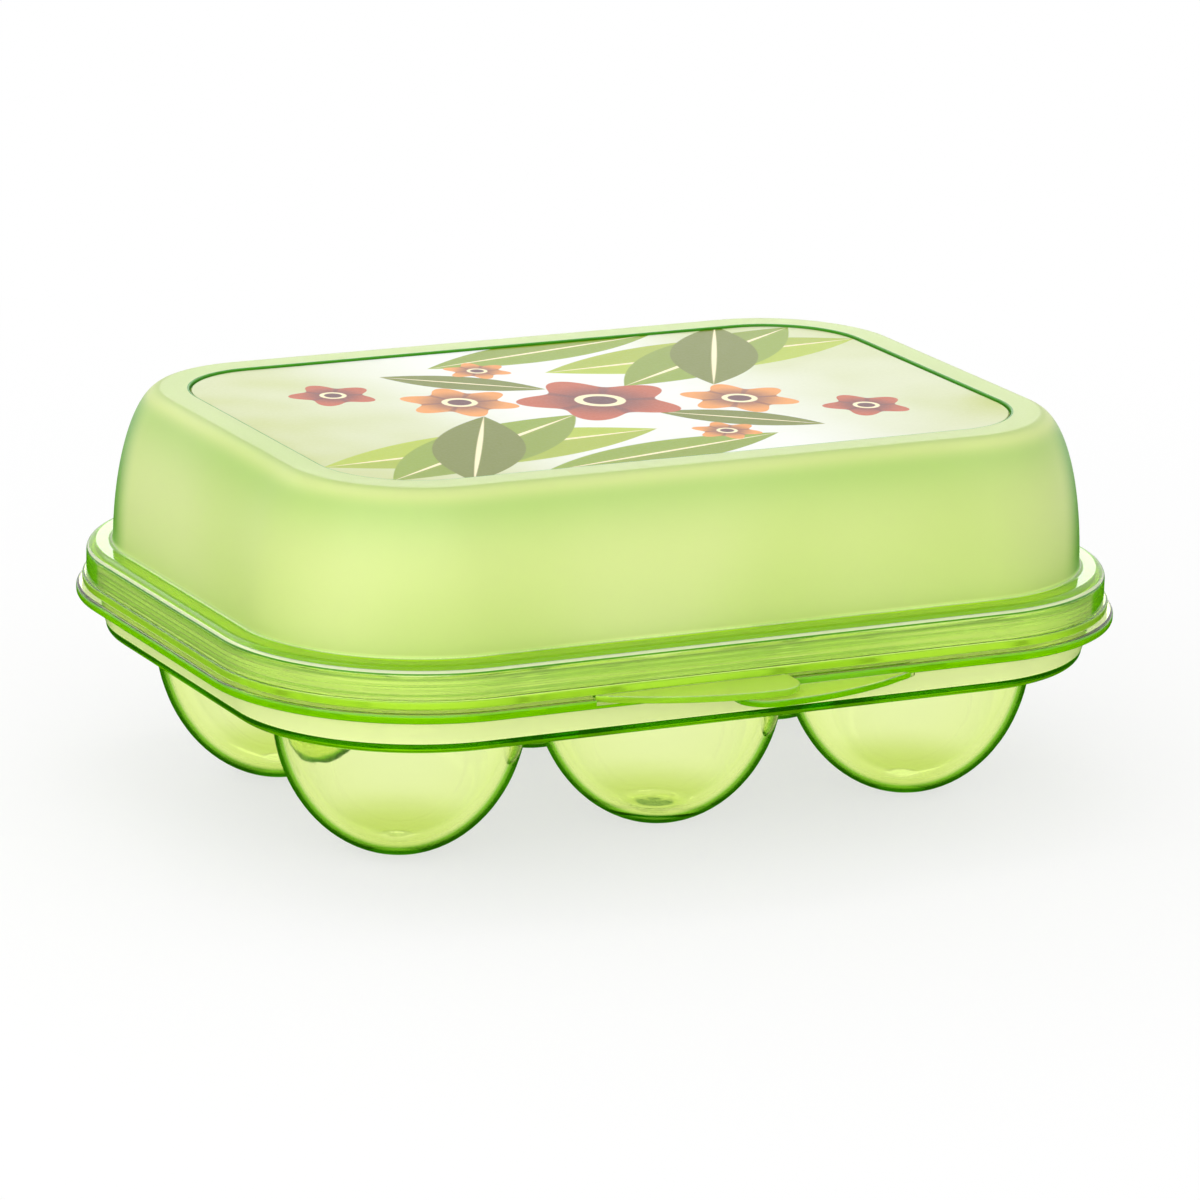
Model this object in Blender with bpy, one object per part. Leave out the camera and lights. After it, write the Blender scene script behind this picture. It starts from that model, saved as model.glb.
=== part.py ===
"""Egg carrier box: a tray with six egg cups, a domed lift-off lid and a label panel in the lid's top.

Metres, +Z up, +X along the box. The box stands on the flat feet of its cups at z = 0.
Every outline of the box is an offset of one rectangle, so each is named by its reach:
how far it lies outside the rectangle that joins the centres of its four corner arcs.
"""
import math

import bmesh
import bpy
from mathutils import Vector

# Layout of the cups, with the plate left between two neighbouring mouths
CUP_COLUMNS = 3
CUP_ROWS = 2
CUP_SPACING = 0.0063
CORNER_TRIM = 0.0008

# Both mouldings
WALL = 0.0018
FIT_GAP = 0.0003
CUT_OVERRUN = 0.0020

# Egg cup
CUP_RADIUS = 0.02485
CUP_DEPTH = 0.02927
CUP_FOOT_RADIUS = 0.0040
CUP_LIP_ROUND = 0.0006

# Tray, from its plate outwards and upwards
PLATE_MARGIN = 0.01022
FOOT_ROUND = 0.0018
WALL_LEAN = 0.00188
WALL_HEIGHT = 0.00763
FLANGE_THICKNESS = 0.0021
FLANGE_STEP = 0.00115
FLANGE_ROUND = 0.0007
UPSTAND_HEADROOM = 0.0013
UPSTAND_ROUND = 0.0006

# Lid, from its lower edge upwards
BEAD_STEP = 0.0008
BEAD_HEIGHT = 0.0019
BEAD_ROUND = 0.0005
SKIRT_HEIGHT = 0.00826
LEDGE_WIDTH = 0.0043
LEDGE_ROUND = 0.0020
DOME_FOOT_ROUND = 0.0009
DOME_RISE = 0.0310
DOME_DRAW = 0.0094
CROWN_WIDTH = 0.00545
RECESS_DEPTH = 0.0011
RECESS_ROUND = 0.0003

# Label panel
LABEL_THICKNESS = 0.0004
LABEL_SIDE_GAP = 0.0004

# Pull tabs, a mirrored pair at the middle of the front
TAB_REACH = 0.0095
TAB_SWEEP = 0.0346
TAB_HOOK = 0.0065
TAB_CORNER = 0.0055
TAB_THICKNESS = 0.0015
TAB_DROP = 0.0013
TAB_STEP = 0.0002

# Facets
CORNER_SEGMENTS = 9
ROUND_SEGMENTS = 3
DOME_SEGMENTS = 9
CUP_SEGMENTS = 28
CUP_RINGS = 7
TAB_SEGMENTS = 10
SMOOTH_ANGLE = math.radians(32)

# Layout and reaches worked out from the sizes above
CUP_PITCH = 2 * CUP_RADIUS + CUP_SPACING
CORNER_X = CUP_PITCH * (CUP_COLUMNS - 1) / 2 - CORNER_TRIM
CORNER_Y = CUP_PITCH * (CUP_ROWS - 1) / 2 + CORNER_TRIM
PLATE_REACH = CUP_RADIUS + PLATE_MARGIN
UPSTAND_REACH = PLATE_REACH + WALL_LEAN
SKIRT_INNER_REACH = UPSTAND_REACH + FIT_GAP
SKIRT_REACH = SKIRT_INNER_REACH + WALL
BEAD_REACH = SKIRT_REACH + BEAD_STEP
FLANGE_REACH = BEAD_REACH + FLANGE_STEP
DOME_REACH = SKIRT_REACH - LEDGE_WIDTH
DOME_TOP_REACH = DOME_REACH - DOME_FOOT_ROUND - DOME_DRAW
RECESS_REACH = DOME_TOP_REACH - CROWN_WIDTH
LABEL_REACH = RECESS_REACH - LABEL_SIDE_GAP
TAB_ROOT_REACH = SKIRT_INNER_REACH + WALL / 2
TAB_TIP = CORNER_Y + BEAD_REACH + TAB_REACH

# Heights of the tray, from the ground
PLATE_Z = CUP_DEPTH
FLANGE_Z = PLATE_Z + WALL_HEIGHT
FLANGE_TOP = FLANGE_Z + FLANGE_THICKNESS
LID_EDGE_Z = FLANGE_TOP + FIT_GAP
UPSTAND_TOP = LID_EDGE_Z + SKIRT_HEIGHT - WALL - UPSTAND_HEADROOM
LID_TAB_Z = LID_EDGE_Z - TAB_DROP
NOTCH_Z = LID_TAB_Z - FIT_GAP
TRAY_TAB_Z = NOTCH_Z - TAB_STEP - TAB_THICKNESS

# Heights of the lid, from its own lower edge
DOME_TOP = SKIRT_HEIGHT + DOME_RISE
RECESS_Z = DOME_TOP - RECESS_DEPTH
LABEL_Z = RECESS_Z + FIT_GAP

# The origin is under the middle of everything, so the body stands back by half the tabs' reach
BODY_Y = (TAB_TIP - CORNER_Y - FLANGE_REACH) / 2

# Materials: colour, roughness and metallic value
TRAY_LOOK = ((0.56, 0.80, 0.16), 0.12, 0.0)
CUP_LOOK = ((0.60, 0.82, 0.24), 0.12, 0.0)
LID_LOOK = ((0.64, 0.80, 0.30), 0.38, 0.0)
LABEL_LOOK = ((0.80, 0.80, 0.62), 0.35, 0.0)


def clear_scene():
    for item in list(bpy.data.objects):
        bpy.data.objects.remove(item, do_unlink=True)


def make_material(name, look):
    """A Principled material with the look's colour, roughness and metallic value."""
    colour, roughness, metallic = look
    material = bpy.data.materials.new(name)
    material.use_nodes = True
    shader = material.node_tree.nodes["Principled BSDF"]
    shader.inputs["Base Color"].default_value = (*colour, 1)
    shader.inputs["Roughness"].default_value = roughness
    shader.inputs["Metallic"].default_value = metallic
    material.diffuse_color = (*colour, 1)
    return material


def arc(centre, radii, start, end, segments):
    """Points (reach, z) on a quarter or so of an ellipse, angles in degrees."""
    points = []
    for step in range(segments + 1):
        angle = math.radians(start + (end - start) * step / segments)
        reach = centre[0] + radii[0] * math.cos(angle)
        height = centre[1] + radii[1] * math.sin(angle)
        points.append((reach, height))
    return points


def outline(reach, height):
    """One closed ring of points: the corner rectangle's outline, offset outwards by reach."""
    ring = []
    for quarter in range(4):
        side_x = 1 if quarter in (0, 3) else -1
        side_y = 1 if quarter in (0, 1) else -1
        for step in range(CORNER_SEGMENTS + 1):
            angle = math.pi / 2 * (quarter + step / CORNER_SEGMENTS)
            x = side_x * CORNER_X + reach * math.cos(angle)
            y = side_y * CORNER_Y + reach * math.sin(angle)
            ring.append(Vector((x, y, height)))
    return ring


def circle(radius, height):
    """One closed ring of points round the Z axis."""
    ring = []
    for step in range(CUP_SEGMENTS):
        angle = 2 * math.pi * step / CUP_SEGMENTS
        ring.append(Vector((radius * math.cos(angle), radius * math.sin(angle), height)))
    return ring


def loft(name, rings):
    """A closed solid: a skin through the rings in order, with the first and the last filled."""
    model = bmesh.new()
    loops = [[model.verts.new(point) for point in ring] for ring in rings]
    for lower, upper in zip(loops, loops[1:]):
        for index in range(len(lower)):
            following = (index + 1) % len(lower)
            model.faces.new((lower[index], lower[following], upper[following], upper[index]))
    model.faces.new(loops[0])
    model.faces.new(loops[-1])
    bmesh.ops.recalc_face_normals(model, faces=model.faces)
    mesh = bpy.data.meshes.new(name)
    model.to_mesh(mesh)
    model.free()
    return link(name, mesh)


def link(name, mesh):
    piece = bpy.data.objects.new(name, mesh)
    bpy.context.collection.objects.link(piece)
    return piece


def finish(piece, material, parent):
    """Hang the piece on its parent, give it its material and shade its rounds smooth."""
    piece.parent = parent
    piece.data.materials.append(material)
    for face in piece.data.polygons:
        face.use_smooth = True
    piece.data.set_sharp_from_angle(angle=SMOOTH_ANGLE)


def combine(piece, other, operation):
    """Add the other solid to the piece, or cut it out, then remove it."""
    modifier = piece.modifiers.new("combine", "BOOLEAN")
    modifier.operation = operation
    modifier.solver = "EXACT"
    modifier.object = other
    bpy.context.view_layer.update()
    evaluated = piece.evaluated_get(bpy.context.evaluated_depsgraph_get())
    mesh = bpy.data.meshes.new_from_object(evaluated)
    piece.modifiers.remove(modifier)
    old = piece.data
    piece.data = mesh
    bpy.data.meshes.remove(old)
    bpy.data.objects.remove(other, do_unlink=True)


def box(name, low, high):
    """A plain block between two corners, used as a cutter."""
    corners = [(low[0], low[1]), (high[0], low[1]), (high[0], high[1]), (low[0], high[1])]
    rings = [[Vector((x, y, height)) for x, y in corners] for height in (low[2], high[2])]
    return loft(name, rings)


def tab_edge():
    """The tab's plan as (x, distance past the bead): a long arc, a rounded tip and a straight end.

    It is drawn for the lid, whose tab rises from the left. The tray's tab is its mirror image.
    """
    sweep_radius = (TAB_SWEEP ** 2 + TAB_REACH ** 2) / (2 * TAB_REACH)
    sweep = math.degrees(math.asin(TAB_SWEEP / sweep_radius))
    arc_centre = (0, TAB_REACH - sweep_radius)
    edge = arc(arc_centre, (sweep_radius, sweep_radius), 90 + sweep, 90, TAB_SEGMENTS)
    tip_centre = (0, TAB_REACH - TAB_CORNER)
    edge += arc(tip_centre, (TAB_HOOK, TAB_CORNER), 90, 0, TAB_SEGMENTS)[1:]
    return edge


def pull_tab(name, side, bottom):
    """A flat pull tab from its root in the rim out to its edge; side -1 rises from the left."""
    root_y = -CORNER_Y - TAB_ROOT_REACH
    plan = [(-side * x, -CORNER_Y - BEAD_REACH - out) for x, out in tab_edge()]
    plan.append((plan[-1][0], root_y))
    plan.insert(0, (plan[0][0], root_y))
    levels = (bottom, bottom + TAB_THICKNESS)
    return loft(name, [[Vector((x, y, height)) for x, y in plan] for height in levels])


def cup_profile():
    """The cup's section as (radius, z): foot, outer bowl, collar through the plate, inner bowl."""
    foot_angle = math.degrees(math.asin(CUP_FOOT_RADIUS / CUP_RADIUS))
    outer_drop = CUP_DEPTH / math.cos(math.radians(foot_angle))
    outer_centre = (0, CUP_DEPTH)
    outer = arc(outer_centre, (CUP_RADIUS, outer_drop), foot_angle - 90, 0, CUP_RINGS)
    inner_radius = CUP_RADIUS - WALL
    inner = arc(outer_centre, (inner_radius, CUP_DEPTH - WALL), 0, foot_angle - 90, CUP_RINGS)
    top = CUP_DEPTH + WALL
    lip_centre = (inner_radius + CUP_LIP_ROUND, top - CUP_LIP_ROUND)
    lip = arc(lip_centre, (CUP_LIP_ROUND, CUP_LIP_ROUND), 90, 180, ROUND_SEGMENTS)
    return outer + [(CUP_RADIUS, top)] + lip + inner


def tray_profile():
    """The tray's section as (reach, z), from the plate's underside round to its top."""
    foot_centre = (PLATE_REACH - FOOT_ROUND, PLATE_Z + FOOT_ROUND)
    foot = arc(foot_centre, (FOOT_ROUND, FOOT_ROUND), -90, 0, ROUND_SEGMENTS)
    under = arc((FLANGE_REACH - FLANGE_ROUND, FLANGE_Z + FLANGE_ROUND),
                (FLANGE_ROUND, FLANGE_ROUND), -90, 0, ROUND_SEGMENTS)
    over = arc((FLANGE_REACH - FLANGE_ROUND, FLANGE_TOP - FLANGE_ROUND),
               (FLANGE_ROUND, FLANGE_ROUND), 0, 90, ROUND_SEGMENTS)
    edge_z = UPSTAND_TOP - UPSTAND_ROUND
    outer_edge = arc((UPSTAND_REACH - UPSTAND_ROUND, edge_z),
                     (UPSTAND_ROUND, UPSTAND_ROUND), 0, 90, ROUND_SEGMENTS)
    inner_edge = arc((UPSTAND_REACH - WALL + UPSTAND_ROUND, edge_z),
                     (UPSTAND_ROUND, UPSTAND_ROUND), 90, 180, ROUND_SEGMENTS)
    inside_round = FOOT_ROUND - WALL / 2
    floor_centre = (PLATE_REACH - WALL - inside_round, PLATE_Z + WALL + inside_round)
    floor = arc(floor_centre, (inside_round, inside_round), 0, -90, ROUND_SEGMENTS)
    wall_top = [(UPSTAND_REACH, FLANGE_Z)]
    ledge = [(UPSTAND_REACH, FLANGE_TOP)]
    knee = [(UPSTAND_REACH - WALL, FLANGE_Z + WALL)]
    return foot + wall_top + under + over + ledge + outer_edge + inner_edge + knee + floor


def lid_profile():
    """The lid's section as (reach, z above its edge), from the recess floor out, down and back in."""
    recess = [(RECESS_REACH - RECESS_ROUND, RECESS_Z), (RECESS_REACH, RECESS_Z + RECESS_ROUND)]
    recess += arc((RECESS_REACH + RECESS_ROUND, DOME_TOP - RECESS_ROUND),
                  (RECESS_ROUND, RECESS_ROUND), 180, 90, ROUND_SEGMENTS)
    foot_angle = math.degrees(math.asin(DOME_FOOT_ROUND / DOME_RISE))
    dome = arc((DOME_TOP_REACH, SKIRT_HEIGHT), (DOME_DRAW, DOME_RISE), 90, foot_angle, DOME_SEGMENTS)
    fillet = arc((DOME_REACH, SKIRT_HEIGHT + DOME_FOOT_ROUND),
                 (DOME_FOOT_ROUND, DOME_FOOT_ROUND), 180, 270, ROUND_SEGMENTS)[1:]
    ledge = arc((SKIRT_REACH - LEDGE_ROUND, SKIRT_HEIGHT - LEDGE_ROUND),
                (LEDGE_ROUND, LEDGE_ROUND), 90, 0, ROUND_SEGMENTS + 1)
    bead = [(SKIRT_REACH, BEAD_HEIGHT)]
    bead += arc((BEAD_REACH - BEAD_ROUND, BEAD_HEIGHT - BEAD_ROUND),
                (BEAD_ROUND, BEAD_ROUND), 90, 0, ROUND_SEGMENTS)
    bead += arc((BEAD_REACH - BEAD_ROUND, BEAD_ROUND),
                (BEAD_ROUND, BEAD_ROUND), 0, -90, ROUND_SEGMENTS)
    inner_round = LEDGE_ROUND - WALL
    skirt = [(SKIRT_INNER_REACH, 0)]
    skirt += arc((SKIRT_INNER_REACH - inner_round, SKIRT_HEIGHT - WALL - inner_round),
                 (inner_round, inner_round), 0, 90, ROUND_SEGMENTS)
    inside_foot = [(DOME_REACH - WALL, SKIRT_HEIGHT - WALL)]
    inside = arc((DOME_TOP_REACH, SKIRT_HEIGHT - WALL),
                 (DOME_DRAW - WALL, DOME_RISE), foot_angle, 90, DOME_SEGMENTS)
    ceiling = [(RECESS_REACH - WALL, DOME_TOP - WALL), (RECESS_REACH - WALL, RECESS_Z - WALL)]
    return recess + dome + fillet + ledge + bead + skirt + inside_foot + inside + ceiling


def cup_places():
    """Each cup's name and the place of its axis, by row from the front and by column from the left."""
    places = []
    for row in range(CUP_ROWS):
        side = "front" if row == 0 else "back"
        for column in range(CUP_COLUMNS):
            x = CUP_PITCH * (column - (CUP_COLUMNS - 1) / 2)
            y = CUP_PITCH * (row - (CUP_ROWS - 1) / 2)
            places.append((f"egg_cup_{side}_{column + 1}", (x, y, 0)))
    return places


def make_cups(parent):
    """The egg cups, all of one shape."""
    material = make_material("cup_plastic", CUP_LOOK)
    rings = [circle(radius, height) for radius, height in cup_profile()]
    for name, place in cup_places():
        cup = loft(name, rings)
        cup.location = place
        finish(cup, material, parent)


def make_tray_frame(parent):
    """The tray's plate with its cup holes, its wall, flange, upstand and pull tab."""
    frame = loft("tray_frame", [outline(reach, height) for reach, height in tray_profile()])
    notch_x = TAB_HOOK + FIT_GAP
    low = (-TAB_SWEEP - FIT_GAP, -CORNER_Y - FLANGE_REACH - CUT_OVERRUN, NOTCH_Z)
    high = (notch_x, -CORNER_Y - TAB_ROOT_REACH + FIT_GAP, FLANGE_TOP + CUT_OVERRUN)
    combine(frame, box("notch_cutter", low, high), "DIFFERENCE")
    combine(frame, pull_tab("tray_tab", 1, TRAY_TAB_Z), "UNION")
    hole_radius = CUP_RADIUS + FIT_GAP
    heights = (PLATE_Z - CUT_OVERRUN, PLATE_Z + WALL + CUT_OVERRUN)
    for _, place in cup_places():
        cutter = loft("hole_cutter", [circle(hole_radius, height) for height in heights])
        cutter.location = place
        combine(frame, cutter, "DIFFERENCE")
    finish(frame, make_material("tray_plastic", TRAY_LOOK), parent)


def make_lid(parent):
    """The domed lid: recess for the label, dome, ledge, skirt, bead and pull tab."""
    shell = loft("lid_shell", [outline(reach, height) for reach, height in lid_profile()])
    combine(shell, pull_tab("lid_tab", -1, -TAB_DROP), "UNION")
    finish(shell, make_material("lid_plastic", LID_LOOK), parent)


def make_label(parent):
    """The thin printed panel that lies in the lid's recess."""
    levels = (LABEL_Z, LABEL_Z + LABEL_THICKNESS)
    label = loft("lid_label", [outline(LABEL_REACH, height) for height in levels])
    finish(label, make_material("label_print", LABEL_LOOK), parent)


def make_empty(name, location):
    holder = bpy.data.objects.new(name, None)
    holder.location = location
    bpy.context.collection.objects.link(holder)
    return holder


def main():
    clear_scene()
    tray = make_empty("tray", (0, BODY_Y, 0))
    lid = make_empty("lid", (0, BODY_Y, LID_EDGE_Z))
    make_tray_frame(tray)
    make_cups(tray)
    make_lid(lid)
    make_label(lid)


main()
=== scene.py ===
"""Egg carrier box: the looks. A clear green tray, a frosted lid with a clear skirt, and a printed label.

Metres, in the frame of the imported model. As in the part, an outline is named by its reach:
how far it lies outside the rectangle that joins the centres of its four corner arcs.
"""
import math

import bmesh
import bpy
from mathutils import Matrix, Vector


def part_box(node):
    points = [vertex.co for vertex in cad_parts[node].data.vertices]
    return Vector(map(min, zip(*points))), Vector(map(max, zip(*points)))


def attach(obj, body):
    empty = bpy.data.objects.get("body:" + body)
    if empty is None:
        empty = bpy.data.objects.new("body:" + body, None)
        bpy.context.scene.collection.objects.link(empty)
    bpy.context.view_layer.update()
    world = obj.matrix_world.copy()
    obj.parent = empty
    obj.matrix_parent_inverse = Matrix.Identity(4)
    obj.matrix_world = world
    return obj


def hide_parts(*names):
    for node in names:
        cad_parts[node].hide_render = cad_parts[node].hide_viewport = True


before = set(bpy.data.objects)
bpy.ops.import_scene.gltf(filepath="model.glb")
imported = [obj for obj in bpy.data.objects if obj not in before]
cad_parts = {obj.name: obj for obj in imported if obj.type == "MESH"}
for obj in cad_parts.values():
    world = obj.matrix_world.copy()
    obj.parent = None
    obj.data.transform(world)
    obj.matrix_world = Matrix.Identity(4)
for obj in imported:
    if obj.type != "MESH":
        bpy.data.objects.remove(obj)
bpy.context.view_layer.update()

MM = 0.001

# Sizes and places read from the frame
tray_low, tray_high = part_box("tray_frame")
lid_low, lid_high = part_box("lid_shell")
label_low, label_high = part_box("lid_label")
CUP_NAMES = [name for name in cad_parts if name.startswith("egg_cup")]
CUP_BOXES = [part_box(name) for name in CUP_NAMES]
CUP_AXES = [(low + high) / 2 for low, high in CUP_BOXES]
CUP_RADIUS = (CUP_BOXES[0][1].x - CUP_BOXES[0][0].x) / 2
BODY_Y = sum(axis.y for axis in CUP_AXES) / len(CUP_AXES)
PITCH = max(axis.x for axis in CUP_AXES)
CORNER_TRIM = 0.8 * MM
CORNER_X = PITCH - CORNER_TRIM
CORNER_Y = PITCH / 2 + CORNER_TRIM

# Both mouldings
WALL = 1.8 * MM
FIT_GAP = 0.3 * MM

# Tray
PLATE_Z = tray_low.z
UPSTAND_TOP = tray_high.z
FLANGE_REACH = tray_high.x - CORNER_X
BEAD_REACH = lid_high.x - CORNER_X
BEAD_STEP = 0.8 * MM
SKIRT_REACH = BEAD_REACH - BEAD_STEP
SKIRT_INNER_REACH = SKIRT_REACH - WALL
UPSTAND_REACH = SKIRT_INNER_REACH - FIT_GAP
WALL_LEAN = 1.88 * MM
PLATE_REACH = UPSTAND_REACH - WALL_LEAN
FOOT_ROUND = 1.8 * MM
WALL_HEIGHT = 7.63 * MM
FLANGE_Z = PLATE_Z + WALL_HEIGHT
FLANGE_THICKNESS = 2.1 * MM
FLANGE_TOP = FLANGE_Z + FLANGE_THICKNESS
FLANGE_ROUND = 0.7 * MM
UPSTAND_ROUND = 0.6 * MM

EJECTOR_X = 44.5 * MM
EJECTOR_Y = 58.7 * MM
EJECTOR_RADIUS = 3.5 * MM

# Egg cups
CUP_DEPTH = PLATE_Z
CUP_FOOT_RADIUS = 4.0 * MM
MOUTH_ROUND = 1.6 * MM
GATE_CENTRE = 0.6 * MM
GATE_RADIUS = 8.0 * MM
GATE_HEIGHT = 2.0 * MM
GATE_RIPPLE = 0.08 * MM
GATE_WAVE = 3.2 * MM
ROOT_ROUND = 0.7 * MM

# Lid
LID_EDGE = FLANGE_TOP + FIT_GAP
SKIRT_HEIGHT = 8.26 * MM
LEDGE_TOP = LID_EDGE + SKIRT_HEIGHT
LEDGE_WIDTH = 4.3 * MM
LEDGE_ROUND = 2.0 * MM
BEAD_HEIGHT = 1.9 * MM
BEAD_ROUND = 0.5 * MM
RIDGES = 5
RIDGE_PITCH = 0.9 * MM
RIDGE_START = 0.9 * MM
RIDGE_DEPTH = 0.16 * MM
RIDGE_SEGMENTS = 8
DOME_FOOT_ROUND = 0.9 * MM
DOME_DRAW = 9.4 * MM
DOME_TOP = lid_high.z
DOME_RISE = DOME_TOP - LEDGE_TOP
DOME_REACH = SKIRT_REACH - LEDGE_WIDTH
DOME_TOP_REACH = DOME_REACH - DOME_FOOT_ROUND - DOME_DRAW
CROWN_WIDTH = 5.45 * MM
RECESS_REACH = DOME_TOP_REACH - CROWN_WIDTH
RECESS_Z = label_low.z - FIT_GAP
RECESS_ROUND = 0.3 * MM

# Pull tabs
TAB_REACH = BODY_Y - lid_low.y - CORNER_Y - BEAD_REACH
TAB_SWEEP = 34.6 * MM
TAB_HOOK = 6.5 * MM
TAB_CORNER = 5.5 * MM
TAB_THICKNESS = 1.5 * MM
TAB_EDGE_ROUND = 0.4 * MM
TAB_EDGE_ANGLE = math.radians(60)
TAB_STEP = 0.2 * MM
LID_TAB_Z = lid_low.z
NOTCH_Z = LID_TAB_Z - FIT_GAP
TRAY_TAB_Z = NOTCH_Z - TAB_STEP - TAB_THICKNESS
TAB_ROOT_REACH = SKIRT_INNER_REACH + WALL / 2
CUT_OVERRUN = 2 * MM

# Facets
CORNER_SEGMENTS = 32
ROUND_SEGMENTS = 6
DOME_SEGMENTS = 28
CUP_SEGMENTS = 72
CUP_RINGS = 22
TAB_SEGMENTS = 24
TAB_EDGE_SEGMENTS = 3
SMOOTH_ANGLE = math.radians(28)


def arc(centre, radii, start, end, segments):
    """Points (reach, z) on part of an ellipse, angles in degrees."""
    points = []
    for step in range(segments + 1):
        angle = math.radians(start + (end - start) * step / segments)
        points.append((centre[0] + radii[0] * math.cos(angle), centre[1] + radii[1] * math.sin(angle)))
    return points


def outline(reach, height):
    """A closed ring of points: the corner rectangle's outline, offset outwards by reach."""
    ring = []
    for quarter in range(4):
        side_x = 1 if quarter in (0, 3) else -1
        side_y = 1 if quarter in (0, 1) else -1
        for step in range(CORNER_SEGMENTS + 1):
            angle = math.pi / 2 * (quarter + step / CORNER_SEGMENTS)
            x = side_x * CORNER_X + reach * math.cos(angle)
            y = side_y * CORNER_Y + reach * math.sin(angle)
            ring.append(Vector((x, BODY_Y + y, height)))
    return ring


def circle(axis, radius, height):
    """A closed ring of points round a cup's axis."""
    ring = []
    for step in range(CUP_SEGMENTS):
        angle = 2 * math.pi * step / CUP_SEGMENTS
        x = axis.x + radius * math.cos(angle)
        y = axis.y + radius * math.sin(angle)
        ring.append(Vector((x, y, height)))
    return ring


def skin(model, rings):
    """Joins the rings in order with quads, and returns the loops of vertices."""
    loops = [[model.verts.new(point) for point in ring] for ring in rings]
    for lower, upper in zip(loops, loops[1:]):
        for index in range(len(lower)):
            following = (index + 1) % len(lower)
            model.faces.new((lower[index], lower[following], upper[following], upper[index]))
    return loops


def loop_edges(model, loop):
    return [model.edges.get((a, b)) for a, b in zip(loop, loop[1:] + loop[:1])]


def to_object(name, model):
    bmesh.ops.recalc_face_normals(model, faces=model.faces)
    mesh = bpy.data.meshes.new(name)
    model.to_mesh(mesh)
    model.free()
    piece = bpy.data.objects.new(name, mesh)
    bpy.context.collection.objects.link(piece)
    return piece


def loft(name, rings):
    """A closed solid through the rings, with the first and the last filled."""
    model = bmesh.new()
    loops = skin(model, rings)
    model.faces.new(loops[0])
    model.faces.new(loops[-1])
    return to_object(name, model)


def apply_modifiers(piece):
    """Replaces the piece's mesh by the one its modifiers make."""
    bpy.context.view_layer.update()
    evaluated = piece.evaluated_get(bpy.context.evaluated_depsgraph_get())
    mesh = bpy.data.meshes.new_from_object(evaluated)
    piece.modifiers.clear()
    piece.data = mesh


def combine(piece, other, operation):
    """Adds the other solid to the piece, or cuts it out, then removes it."""
    modifier = piece.modifiers.new("combine", "BOOLEAN")
    modifier.operation = operation
    modifier.solver = "EXACT"
    modifier.object = other
    apply_modifiers(piece)
    bpy.data.objects.remove(other, do_unlink=True)


def shade(piece):
    """Smooth rounds with crisp edges, and flat faces that stay flat."""
    for face in piece.data.polygons:
        face.use_smooth = True
    piece.data.set_sharp_from_angle(angle=SMOOTH_ANGLE)
    normals = piece.modifiers.new("normals", "WEIGHTED_NORMAL")
    normals.keep_sharp = True


# The forms

def tab_edge():
    """The tab's plan as (x, distance past the bead), as the lid's tab runs from left to right."""
    sweep_radius = (TAB_SWEEP ** 2 + TAB_REACH ** 2) / (2 * TAB_REACH)
    sweep = math.degrees(math.asin(TAB_SWEEP / sweep_radius))
    edge = arc((0, TAB_REACH - sweep_radius), (sweep_radius, sweep_radius),
               90 + sweep, 90, TAB_SEGMENTS)
    edge += arc((0, TAB_REACH - TAB_CORNER), (TAB_HOOK, TAB_CORNER), 90, 0, TAB_SEGMENTS)[1:]
    return edge


def pull_tab(side, bottom):
    """A flat pull tab from its root in the rim out to its rounded edge; side -1 rises from the left."""
    root_y = BODY_Y - CORNER_Y - TAB_ROOT_REACH
    front_y = BODY_Y - CORNER_Y - BEAD_REACH
    plan = [(-side * x, front_y - out) for x, out in tab_edge()]
    plan.append((plan[-1][0], root_y))
    plan.insert(0, (plan[0][0], root_y))
    levels = (bottom, bottom + TAB_THICKNESS)
    tab = loft("tab", [[Vector((x, y, height)) for x, y in plan] for height in levels])
    rounding = tab.modifiers.new("rounding", "BEVEL")
    rounding.width = TAB_EDGE_ROUND
    rounding.segments = TAB_EDGE_SEGMENTS
    rounding.limit_method = "ANGLE"
    rounding.angle_limit = TAB_EDGE_ANGLE
    apply_modifiers(tab)
    return tab


def tray_profile():
    """The tray's section as (reach, z), from the plate's underside round to its top."""
    foot = arc((PLATE_REACH - FOOT_ROUND, PLATE_Z + FOOT_ROUND),
               (FOOT_ROUND, FOOT_ROUND), -90, 0, ROUND_SEGMENTS)
    under = arc((FLANGE_REACH - FLANGE_ROUND, FLANGE_Z + FLANGE_ROUND),
                (FLANGE_ROUND, FLANGE_ROUND), -90, 0, ROUND_SEGMENTS)
    over = arc((FLANGE_REACH - FLANGE_ROUND, FLANGE_TOP - FLANGE_ROUND),
               (FLANGE_ROUND, FLANGE_ROUND), 0, 90, ROUND_SEGMENTS)
    edge_z = UPSTAND_TOP - UPSTAND_ROUND
    outer_edge = arc((UPSTAND_REACH - UPSTAND_ROUND, edge_z),
                     (UPSTAND_ROUND, UPSTAND_ROUND), 0, 90, ROUND_SEGMENTS)
    inner_edge = arc((UPSTAND_REACH - WALL + UPSTAND_ROUND, edge_z),
                     (UPSTAND_ROUND, UPSTAND_ROUND), 90, 180, ROUND_SEGMENTS)
    inside_round = FOOT_ROUND - WALL / 2
    floor = arc((PLATE_REACH - WALL - inside_round, PLATE_Z + WALL + inside_round),
                (inside_round, inside_round), 0, -90, ROUND_SEGMENTS)
    wall_top = [(UPSTAND_REACH, FLANGE_Z)]
    ledge = [(UPSTAND_REACH, FLANGE_TOP)]
    knee = [(UPSTAND_REACH - WALL, FLANGE_Z + WALL)]
    return foot + wall_top + under + over + ledge + outer_edge + inner_edge + knee + floor


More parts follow.
